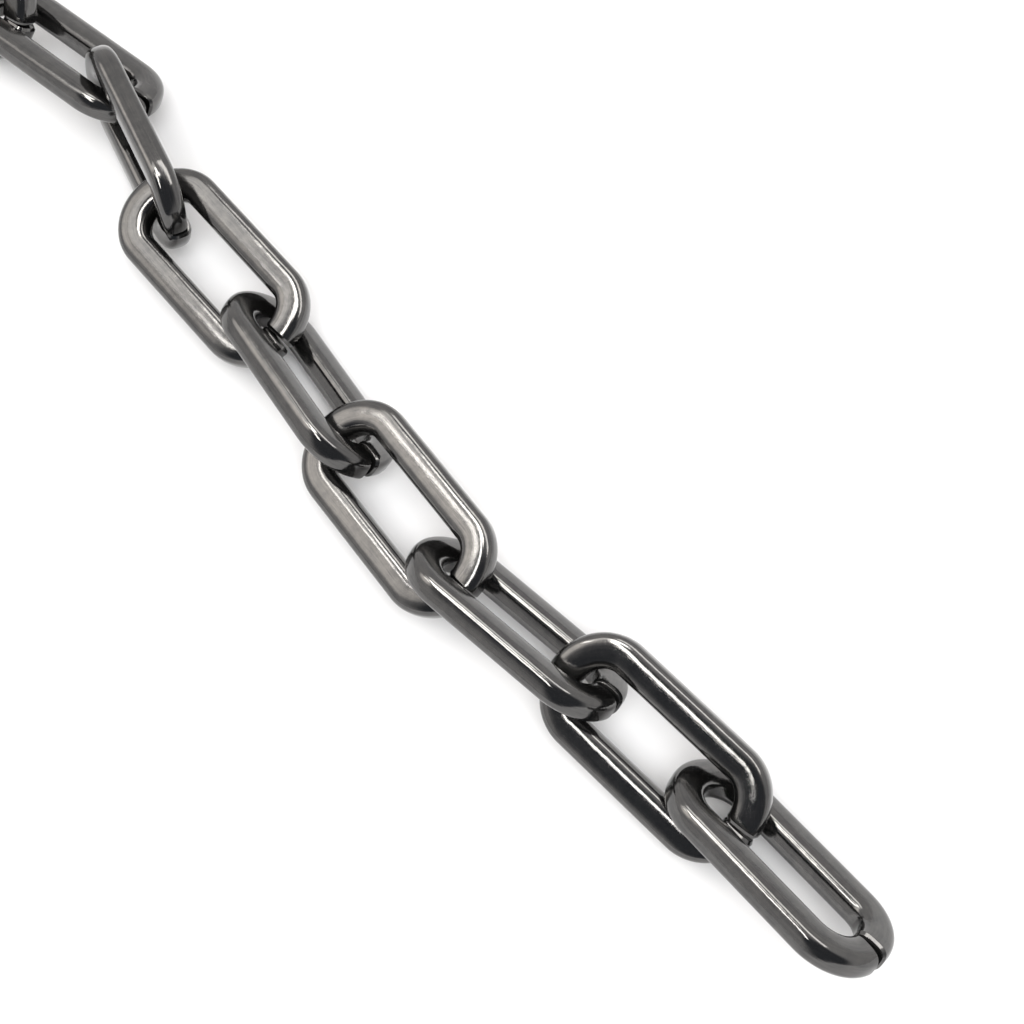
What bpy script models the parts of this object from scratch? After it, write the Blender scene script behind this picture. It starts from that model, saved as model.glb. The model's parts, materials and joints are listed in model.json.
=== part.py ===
# Length of polished chain with long open links of flat-faced wire, lying loosely on a flat surface
import bpy
from math import cos, pi, radians, sin
from mathutils import Matrix, Vector

# Link sizes in metres. The wire's width is measured in the link's plane and its thickness across it.
WIRE_WIDTH = 0.003
WIRE_THICKNESS = 0.0025
WIRE_EDGE_RADIUS = 0.00095
LINK_LENGTH = 0.022
LINK_WIDTH = 0.0106
CROWN_DEPTH = 0.0034
CONTACT_GAP = 0.0004
SEAM_GAP = 0.0003
SEAM_STEP = 0.0003

# Fineness of the wire
FAR_CROWN_STEPS = 10
NEAR_CROWN_STEPS = 5
WIRE_EDGE_STEPS = 3

# How each link lies, near end first: heading, rise and roll in degrees, then how slack it is on
# the link before it, how far it has slid sideways there and how far up, in tenths of a millimetre.
# A roll of 0 is a link lying flat and 90 is a link standing on edge.
VISIBLE_LAY = (
    (-1, 6, -39, 0, 0, 0),
    (4, -3, 29, 19, -4, 3),
    (7, -1, -44, 4, -4, 1),
    (-5, 2, 22, 4, 4, -3),
    (-8, 2, -47, 4, 3, 0),
    (0, -4, 17, 5, -3, 3),
    (-15, -1, -96, 3, 9, 2),
    (11, -3, -30, 12, -1, -8),
)
# Past the photograph's edge two links come down to the surface and the rest go on in a gentle line
LANDING_LAY = (
    (9, 3, 52, 5, 0, 0),
    (4, 3, -45, 3, 0, -2),
)
LINE_LINKS = 9
LINE_ROLL = 45
LINE_SWING = 4
LINE_SLACK = 1

# Distances along a link's own centre line
REACH = (LINK_LENGTH - WIRE_WIDTH) / 2
HALF_WIDTH = (LINK_WIDTH - WIRE_WIDTH) / 2
STRAIGHT = REACH - CROWN_DEPTH


def clear_scene():
    for item in list(bpy.data.objects):
        bpy.data.objects.remove(item, do_unlink=True)


def lay_of_links():
    """Heading, rise, roll, slack, slide and lift of every link, near end first, in radians and metres."""
    rows = [*VISIBLE_LAY, *LANDING_LAY]
    for k in range(LINE_LINKS):
        heading = LINE_SWING * cos(2 * pi * (k + 1) / (LINE_LINKS + 1))
        rows.append((heading, 0, LINE_ROLL if k % 2 == 0 else -LINE_ROLL, LINE_SLACK, 0, 0))
    return [
        (*[radians(angle) for angle in row[:3]], *[tenths / 10000 for tenths in row[3:]])
        for row in rows
    ]


def link_axes(heading, rise, roll):
    """Rotation whose columns are the link's length, width and normal."""
    return Matrix.Rotation(heading, 3, "Z") @ Matrix.Rotation(-rise, 3, "Y") @ Matrix.Rotation(roll, 3, "X")


def wire_path():
    """Centre line of one open link, from one wire end round to the other.

    The path is in the link's own axes, with the near crown's middle at x = REACH.
    """
    points = []
    first = SEAM_GAP / 2 / HALF_WIDTH
    for side in (1, -1):
        half = []
        for i in range(NEAR_CROWN_STEPS + 1):
            angle = first + (pi / 2 - first) * i / NEAR_CROWN_STEPS
            offset = side * SEAM_STEP / 2 * cos(angle) ** 2
            half.append(Vector((STRAIGHT + CROWN_DEPTH * cos(angle), side * HALF_WIDTH * sin(angle), offset)))
        points.append(half)
    far = []
    for i in range(FAR_CROWN_STEPS + 1):
        angle = pi / 2 + pi * i / FAR_CROWN_STEPS
        far.append(Vector((-STRAIGHT + CROWN_DEPTH * cos(angle), HALF_WIDTH * sin(angle), 0)))
    return points[0] + far + points[1][::-1]


def wire_section():
    """Guide object with the outline of the wire: a rectangle with well rounded edges."""
    outline = bpy.data.curves.new("wire_section", "CURVE")
    outline.dimensions = "2D"
    # The outline runs clockwise, which points the wire's faces outwards
    points = []
    for quarter, (side, top) in enumerate(((1, 1), (1, -1), (-1, -1), (-1, 1))):
        centre = Vector((
            side * (WIRE_WIDTH / 2 - WIRE_EDGE_RADIUS),
            top * (WIRE_THICKNESS / 2 - WIRE_EDGE_RADIUS),
        ))
        for i in range(WIRE_EDGE_STEPS + 1):
            angle = pi / 2 * (1 - quarter - i / WIRE_EDGE_STEPS)
            points.append(centre + WIRE_EDGE_RADIUS * Vector((cos(angle), sin(angle))))
    spline = outline.splines.new("POLY")
    spline.points.add(len(points) - 1)
    for point, place in zip(spline.points, points):
        point.co = (place.x, place.y, 0, 1)
    spline.use_cyclic_u = True
    section = bpy.data.objects.new("wire_section", outline)
    section.hide_render = True
    section.display_type = "WIRE"
    return section


def link_curve(name, middle, section):
    """Curve data of one link, whose own middle is placed at the given point."""
    curve = bpy.data.curves.new(name, "CURVE")
    curve.dimensions = "3D"
    curve.twist_mode = "Z_UP"
    curve.bevel_mode = "OBJECT"
    curve.bevel_object = section
    curve.use_fill_caps = True
    path = wire_path()
    spline = curve.splines.new("POLY")
    spline.points.add(len(path) - 1)
    for point, place in zip(spline.points, path):
        point.co = (*(place + middle), 1)
        point.radius = 1
    spline.use_smooth = True
    return curve


def plated_steel():
    material = bpy.data.materials.new("black_nickel_plated_steel")
    material.use_nodes = True
    shader = material.node_tree.nodes["Principled BSDF"]
    shader.inputs["Base Color"].default_value = (0.16, 0.155, 0.15, 1)
    shader.inputs["Metallic"].default_value = 1
    shader.inputs["Roughness"].default_value = 0.16
    return material


def main():
    clear_scene()
    collection = bpy.data.collections.new("long_link_chain")
    bpy.context.scene.collection.children.link(collection)
    material = plated_steel()
    guides = bpy.data.collections.new("guides")
    bpy.context.scene.collection.children.link(guides)
    section = wire_section()
    guides.objects.link(section)

    # Each link hooks round the far crown of the link before it, and its origin is the middle of
    # that crown's wire, about which it swings
    links = []
    pivot = Vector((0, 0, 0))
    for number, (heading, rise, roll, slack, slide, lift) in enumerate(lay_of_links(), 1):
        name = f"link_{number:02d}"
        axes = link_axes(heading, rise, roll)
        shift = Vector((-sin(heading) * slide, cos(heading) * slide, lift))
        middle = Vector((WIRE_WIDTH + CONTACT_GAP + slack - REACH, 0, 0)) + axes.transposed() @ shift
        curve = link_curve(name, middle, section)
        curve.materials.append(material)
        link = bpy.data.objects.new(name, curve)
        link.matrix_world = Matrix.Translation(pivot) @ axes.to_4x4()
        collection.objects.link(link)
        links.append(link)
        pivot = pivot + axes @ (middle - Vector((REACH, 0, 0)))

    # Set the chain on the surface with its box's middle over the origin
    bpy.context.view_layer.update()
    corners = []
    graph = bpy.context.evaluated_depsgraph_get()
    for link in links:
        evaluated = link.evaluated_get(graph)
        mesh = evaluated.to_mesh()
        corners += [link.matrix_world @ vertex.co for vertex in mesh.vertices]
        evaluated.to_mesh_clear()
    low = Vector([min(corner[i] for corner in corners) for i in range(3)])
    high = Vector([max(corner[i] for corner in corners) for i in range(3)])
    middle = (low + high) / 2
    for link in links:
        link.location -= Vector((middle.x, middle.y, low.z))
    bpy.context.view_layer.update()
    return links


if __name__ == "__main__":
    main()
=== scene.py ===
# Looks of a length of black-nickel-plated chain with long open links of flat-faced wire
import json
from math import cos, pi, radians, sin

import bpy
import numpy as np
from mathutils import Matrix, Vector


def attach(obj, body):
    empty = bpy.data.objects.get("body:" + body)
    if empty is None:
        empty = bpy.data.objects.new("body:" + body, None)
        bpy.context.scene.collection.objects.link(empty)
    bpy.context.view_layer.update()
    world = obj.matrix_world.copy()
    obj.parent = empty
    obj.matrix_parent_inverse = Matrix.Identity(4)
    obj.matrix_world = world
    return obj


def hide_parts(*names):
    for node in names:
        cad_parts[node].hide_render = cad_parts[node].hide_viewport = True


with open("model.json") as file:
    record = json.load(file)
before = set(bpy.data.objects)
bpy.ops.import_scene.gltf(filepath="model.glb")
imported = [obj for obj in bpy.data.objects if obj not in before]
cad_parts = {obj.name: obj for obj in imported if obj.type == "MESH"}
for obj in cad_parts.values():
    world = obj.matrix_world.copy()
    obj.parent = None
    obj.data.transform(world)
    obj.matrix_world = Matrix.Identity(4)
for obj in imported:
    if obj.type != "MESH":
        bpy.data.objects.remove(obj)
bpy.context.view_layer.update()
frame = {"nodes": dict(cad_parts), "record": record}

# Link sizes in metres. The wire's width is measured in the link's plane and its thickness across it.
WIRE_WIDTH = 0.003
WIRE_THICKNESS = 0.0025
WIRE_SQUARENESS = 3.0
LINK_LENGTH = 0.022
LINK_WIDTH = 0.0106
CROWN_DEPTH = 0.0034

# The seam: its middle gap, the step between the wire's two ends, how far each end's cut leans so
# that the gap opens outwards, and the slope ground round each end, in from the edge and back from the cut
SEAM_GAP = 0.00012
SEAM_STEP = 0.0003
SEAM_LEAN = 0.035
SLOPE_INSET = 0.00017
SLOPE_BACK = 0.00028

# Distances along a link's own centre line
REACH = (LINK_LENGTH - WIRE_WIDTH) / 2
HALF_WIDTH = (LINK_WIDTH - WIRE_WIDTH) / 2
STRAIGHT = REACH - CROWN_DEPTH

# Fineness of the wire
WIRE_SIDES = 48
CROWN_STEPS = 40
LEG_STEPS = 16
SLOPE_RINGS = (0, 0.1, 0.9, 1)

# The finish: darkest and palest tone of the plating, and its roughness where it is glossiest and
# dullest. Each goes over the given span of the clouds' value, of which the grain makes a share.
DARK_PLATE = (0.080, 0.080, 0.081, 1)
PALE_PLATE = (0.128, 0.125, 0.121, 1)
TONE_SPAN = (0.36, 0.64)
PLATE_ROUGHNESS = (0.05, 0.13)
GLOSS_SPAN = (0.35, 0.65)
GRAIN_SHARE = 0.55

# Heights of the finish's relief in metres, how much the grain is drawn out along the wire, and how
# far the pattern is moved on from one link to the next
WAVE_HEIGHT = 0.000028
BEAD_HEIGHT = 0.0000038
GRAIN_HEIGHT = 0.0000035
GRAIN_STRETCH = 0.035
PATTERN_SHIFT = 0.1

# The photograph's camera: its place, its direction and its lens
CAMERA_TARGET = (0.09703, 0.00518, 0.0)
CAMERA_DISTANCE = 0.1747
CAMERA_AZIMUTH = 49.10
CAMERA_ELEVATION = 63.30
CAMERA_LENS = 69.6

# Level lights over the chain: name, middle, length and width, turn in degrees, and radiance
WARM_WHITE = (1, 0.975, 0.94)
PANELS = (
    ("window_near", (0.073, -0.073, 0.2), (0.147, 0.024), -45, 19),
    ("window_middle", (0.031, 0.002, 0.2), (0.079, 0.034), 0, 17),
    ("window_edge", (0.049, -0.032, 0.08), (0.030, 0.005), 0, 12),
    ("wall_glow", (-0.034, -0.028, 0.2), (0.052, 0.11), 0, 2.5),
    ("window_far", (0.080, 0.100, 0.2), (0.24, 0.060), 0, 5.5),
)

# The broad light that whitens the floor
FILL_PLACE = (0.50, -0.32, 0.98)
FILL_DIAMETER = 0.9
FILL_RADIANCE = 6.2

# Surroundings: the dark side that the chain is seen from, and the warm wall behind its far end.
# Each fades between two cosines of the angle from its middle.
DARK_SIDE = (0.55, -0.50, 0.67)
DARK_SIDE_FADE = (0.80, 0.52)
DARK_SIDE_COLOUR = (0.12, 0.13, 0.15, 1)
PALE_COLOUR = (1.03, 1.01, 1.00, 1)
WALL_SIDE = (-0.616, -0.441, 0.653)
WALL_FADE = (0.93, 1.0)
WALL_COLOUR = (3.5, 3.33, 3.14, 1)

# Half of the floor's side
FLOOR_HALF = 5


def wire_path():
    """Centre line of one link from one wire end round to the other, in the link's own axes."""
    first = SEAM_GAP / 2 / HALF_WIDTH
    halves = []
    for side in (1, -1):
        half = []
        for i in range(CROWN_STEPS // 2 + 1):
            angle = first + (pi / 2 - first) * i / (CROWN_STEPS // 2)
            lift = side * SEAM_STEP / 2 * cos(angle) ** 2
            half.append((STRAIGHT + CROWN_DEPTH * cos(angle), side * HALF_WIDTH * sin(angle), lift))
        for i in range(1, LEG_STEPS):
            half.append((STRAIGHT - 2 * STRAIGHT * i / LEG_STEPS, side * HALF_WIDTH, 0))
        halves.append(half)
    far = []
    for i in range(CROWN_STEPS + 1):
        angle = pi / 2 + pi * i / CROWN_STEPS
        far.append((-STRAIGHT + CROWN_DEPTH * cos(angle), HALF_WIDTH * sin(angle), 0))
    return np.array(halves[0] + far + halves[1][::-1])


def wire_outline():
    """Outline of the wire's section: a squarish oval, as (across the plane, along the normal)."""
    power = 2 / WIRE_SQUARENESS
    points = []
    for i in range(WIRE_SIDES):
        angle = 2 * pi * i / WIRE_SIDES
        c, s = cos(angle), sin(angle)
        points.append((
            WIRE_WIDTH / 2 * abs(c) ** power * np.sign(c),
            WIRE_THICKNESS / 2 * abs(s) ** power * np.sign(s),
        ))
    return np.array(points)


def link_mesh(name, number):
    """Mesh of one link in its own axes: x its length, y its width and z its normal."""
    path = wire_path()
    outline = wire_outline()
    tangents = np.gradient(path, axis=0)
    tangents /= np.linalg.norm(tangents, axis=1)[:, None]
    outward = np.cross(tangents, (0.0, 0.0, 1.0))
    outward /= np.linalg.norm(outward, axis=1)[:, None]
    normals = np.cross(outward, tangents)
    run = np.concatenate(((0,), np.cumsum(np.linalg.norm(np.diff(path, axis=0), axis=1))))
    last = len(path) - 1
    vertices, places = [], []

    def add_ring(k, inset, recess):
        """Add one ring of the wire at a point of its path, drawn in and set back by the given amounts."""
        scale_x = 1 - inset / (WIRE_WIDTH / 2)
        scale_y = 1 - inset / (WIRE_THICKNESS / 2)
        inward = tangents[k] if k < len(path) / 2 else -tangents[k]
        for x, y in outline:
            back = recess + SEAM_LEAN * x * scale_x if k in (0, last) else 0
            vertices.append(path[k] + inward * back + outward[k] * x * scale_x + normals[k] * y * scale_y)
            places.append((x, y, run[k] + PATTERN_SHIFT * number))

    for part in SLOPE_RINGS:
        add_ring(0, SLOPE_INSET * (1 - part), SLOPE_BACK * part)
    for k in range(1, last):
        add_ring(k, 0, 0)
    for part in reversed(SLOPE_RINGS):
        add_ring(last, SLOPE_INSET * (1 - part), SLOPE_BACK * part)

    count = len(vertices) // WIRE_SIDES
    faces = []
    for r in range(count - 1):
        low, high = r * WIRE_SIDES, (r + 1) * WIRE_SIDES
        for i in range(WIRE_SIDES):
            j = (i + 1) % WIRE_SIDES
            faces.append((low + i, high + i, high + j, low + j))
    faces.append(tuple(range(WIRE_SIDES)))
    faces.append(tuple(reversed(range((count - 1) * WIRE_SIDES, count * WIRE_SIDES))))
    mesh = bpy.data.meshes.new(name)
    mesh.from_pydata(vertices, [], faces)
    mesh.shade_smooth()
    for face in mesh.polygons[-2:]:
        face.use_smooth = False

    # Each point's place on the wire, from which the finish takes its pattern
    attribute = mesh.attributes.new("wire_place", "FLOAT_VECTOR", "POINT")
    attribute.data.foreach_set("vector", np.array(places, np.float32).ravel())
    return mesh


def link_axes(node):
    """Place of a link in the frame: a matrix with its length, width and normal and its middle."""
    points = np.array([vertex.co for vertex in node.data.vertices], float)
    centre = points.mean(axis=0)
    vectors = np.linalg.eigh(np.cov((points - centre).T))[1]
    length, width = vectors[:, 2], vectors[:, 1]
    if length[0] < 0:
        length = -length
    if width[1] < 0:
        width = -width
    axes = np.stack((length, width, np.cross(length, width)), axis=1)
    local = points @ axes
    middle = axes @ ((local.max(axis=0) + local.min(axis=0)) / 2)
    matrix = Matrix(axes.tolist()).to_4x4()
    matrix.translation = Vector(middle)
    return matrix


def add_noise(tree, vector, scale, detail, roughness):
    """Noise texture at the given vector. Returns its value."""
    node = tree.nodes.new("ShaderNodeTexNoise")
    node.inputs["Scale"].default_value = scale
    node.inputs["Detail"].default_value = detail
    node.inputs["Roughness"].default_value = roughness
    tree.links.new(vector, node.inputs["Vector"])
    return node.outputs["Fac"]


def add_range(tree, value, source, target=(0, 1), smooth=False):
    """Map a value from the source range to the target range."""
    node = tree.nodes.new("ShaderNodeMapRange")
    if smooth:
        node.interpolation_type = "SMOOTHSTEP"
    node.inputs["From Min"].default_value, node.inputs["From Max"].default_value = source
    node.inputs["To Min"].default_value, node.inputs["To Max"].default_value = target
    tree.links.new(value, node.inputs["Value"])
    return node.outputs["Result"]


def add_colour_mix(tree, factor, second):
    """Mix towards the second colour by the factor. Returns the node, whose first colour is to be set."""
    node = tree.nodes.new("ShaderNodeMix")
    node.data_type = "RGBA"
    node.inputs["B"].default_value = second
    tree.links.new(factor, node.inputs["Factor"])
    return node


def black_nickel():
    """Polished black nickel plate: dark and glossy, with drawing lines, soft waves, beads and clouds."""
    material = bpy.data.materials.new("polished_black_nickel")
    material.use_nodes = True
    tree = material.node_tree
    shader = tree.nodes["Principled BSDF"]
    shader.inputs["Metallic"].default_value = 0.95
    place_node = tree.nodes.new("ShaderNodeAttribute")
    place_node.attribute_name = "wire_place"
    place = place_node.outputs["Vector"]

    # Fine lines along the wire
    stretch = tree.nodes.new("ShaderNodeMapping")
    stretch.inputs["Scale"].default_value = (1, 1, GRAIN_STRETCH)
    tree.links.new(place, stretch.inputs["Vector"])
    grain = add_noise(tree, stretch.outputs["Vector"], scale=8000, detail=4, roughness=0.7)

    # Soft waves left by rolling and polishing, and small pits and beads that roughen a highlight's edge
    wave = add_noise(tree, place, scale=420, detail=2, roughness=0.5)
    bead = add_noise(tree, place, scale=6500, detail=3, roughness=0.65)

    # Clouds of tone and gloss, broken up by the grain
    cloud = add_noise(tree, place, scale=1100, detail=5, roughness=0.7)
    blend = tree.nodes.new("ShaderNodeMix")
    blend.inputs["Factor"].default_value = GRAIN_SHARE
    tree.links.new(cloud, blend.inputs["A"])
    tree.links.new(grain, blend.inputs["B"])
    patches = blend.outputs["Result"]
    gloss = add_range(tree, patches, GLOSS_SPAN, PLATE_ROUGHNESS)
    tree.links.new(gloss, shader.inputs["Roughness"])
    colour = add_colour_mix(tree, add_range(tree, patches, TONE_SPAN), PALE_PLATE)
    colour.inputs["A"].default_value = DARK_PLATE
    tree.links.new(colour.outputs["Result"], shader.inputs["Base Color"])

    normal = None
    for height, distance in ((wave, WAVE_HEIGHT), (bead, BEAD_HEIGHT), (grain, GRAIN_HEIGHT)):
        bump = tree.nodes.new("ShaderNodeBump")
        bump.inputs["Strength"].default_value = 1
        bump.inputs["Distance"].default_value = distance
        tree.links.new(height, bump.inputs["Height"])
        if normal:
            tree.links.new(normal, bump.inputs["Normal"])
        normal = bump.outputs["Normal"]
    tree.links.new(normal, shader.inputs["Normal"])
    return material


def floor_material():
    material = bpy.data.materials.new("pale_floor")
    material.use_nodes = True
    shader = material.node_tree.nodes["Principled BSDF"]
    shader.inputs["Base Color"].default_value = (0.9, 0.9, 0.9, 1)
    shader.inputs["Roughness"].default_value = 0.7
    return material


def build_floor():
    mesh = bpy.data.meshes.new("floor")
    corners = [(x * FLOOR_HALF, y * FLOOR_HALF, 0) for x, y in ((-1, -1), (1, -1), (1, 1), (-1, 1))]
    mesh.from_pydata(corners, [], [(0, 1, 2, 3)])
    floor = bpy.data.objects.new("floor", mesh)
    floor.data.materials.append(floor_material())
    bpy.context.scene.collection.objects.link(floor)


def add_lamp(name, light, place, turn):
    """Place a light, which the camera itself doesn't see."""
    lamp = bpy.data.objects.new(name, light)
    lamp.location = place
    lamp.rotation_euler = turn
    lamp.visible_camera = False
    bpy.context.scene.collection.objects.link(lamp)
    return lamp


def build_panels():
    """Level rectangular lights, which are mirrored in the metal and leave the floor alone."""
    for name, middle, size, turn, radiance in PANELS:
        light = bpy.data.lights.new(name, "AREA")
        light.shape = "RECTANGLE"
        light.size, light.size_y = size
        light.energy = radiance * pi * size[0] * size[1]
        light.color = WARM_WHITE
        lamp = add_lamp(name, light, middle, (0, 0, radians(turn)))
        lamp.visible_diffuse = False


def build_fill_light():
    """Broad light from the camera's side that whitens the floor and isn't mirrored in the metal."""
    light = bpy.data.lights.new("fill", "AREA")
    light.shape = "DISK"
    light.size = FILL_DIAMETER
    light.energy = FILL_RADIANCE * pi * pi * (light.size / 2) ** 2
    turn = (Vector(FILL_PLACE) - Vector(CAMERA_TARGET)).to_track_quat("Z", "Y").to_euler()
    lamp = add_lamp("fill", light, FILL_PLACE, turn)
    lamp.visible_glossy = False


def build_world():
    """Soft studio surroundings: pale, with a dark side and a warm wall."""
    world = bpy.data.worlds.new("studio")
    bpy.context.scene.world = world
    world.use_nodes = True
    tree = world.node_tree
    direction = tree.nodes.new("ShaderNodeTexCoord").outputs["Generated"]

    def closeness(side, fade):
        """How near the direction is to the given side, from 0 to 1."""
        dot = tree.nodes.new("ShaderNodeVectorMath")
        dot.operation = "DOT_PRODUCT"
        dot.inputs[1].default_value = side
        tree.links.new(direction, dot.inputs[0])
        return add_range(tree, dot.outputs["Value"], fade, smooth=True)

    pale = add_colour_mix(tree, closeness(DARK_SIDE, DARK_SIDE_FADE), PALE_COLOUR)
    pale.inputs["A"].default_value = DARK_SIDE_COLOUR
    warm = add_colour_mix(tree, closeness(WALL_SIDE, WALL_FADE), WALL_COLOUR)
    tree.links.new(pale.outputs["Result"], warm.inputs["A"])
    tree.links.new(warm.outputs["Result"], tree.nodes["Background"].inputs["Color"])


def build_camera():
    """Camera at the photograph's angle."""
    data = bpy.data.cameras.new("camera")
    data.lens = CAMERA_LENS
    data.sensor_width = 36
    data.clip_start = 0.01
    camera = bpy.data.objects.new("camera", data)
    azimuth, elevation = radians(CAMERA_AZIMUTH), radians(CAMERA_ELEVATION)
    back = Vector((sin(azimuth) * cos(elevation), -cos(azimuth) * cos(elevation), sin(elevation)))
    camera.location = Vector(CAMERA_TARGET) + back * CAMERA_DISTANCE
    camera.rotation_euler = (-back).to_track_quat("-Z", "Y").to_euler()
    bpy.context.scene.collection.objects.link(camera)
    bpy.context.scene.camera = camera


def build_links():
    """One finer link for each link of the frame, in the same place."""
    material = black_nickel()
    for body, members in frame["record"]["behaviour"]["bodies"].items():
        node = members[0]
        number = int(node[-2:])
        mesh = link_mesh(f"{node}_polished", number)
        mesh.transform(link_axes(frame["nodes"][node]))
        mesh.materials.append(material)
        piece = bpy.data.objects.new(mesh.name, mesh)
        bpy.context.scene.collection.objects.link(piece)
        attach(piece, body)
        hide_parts(node)


build_links()
build_floor()
build_world()
build_panels()
build_fill_light()
build_camera()
bpy.context.scene.view_settings.view_transform = "Standard"
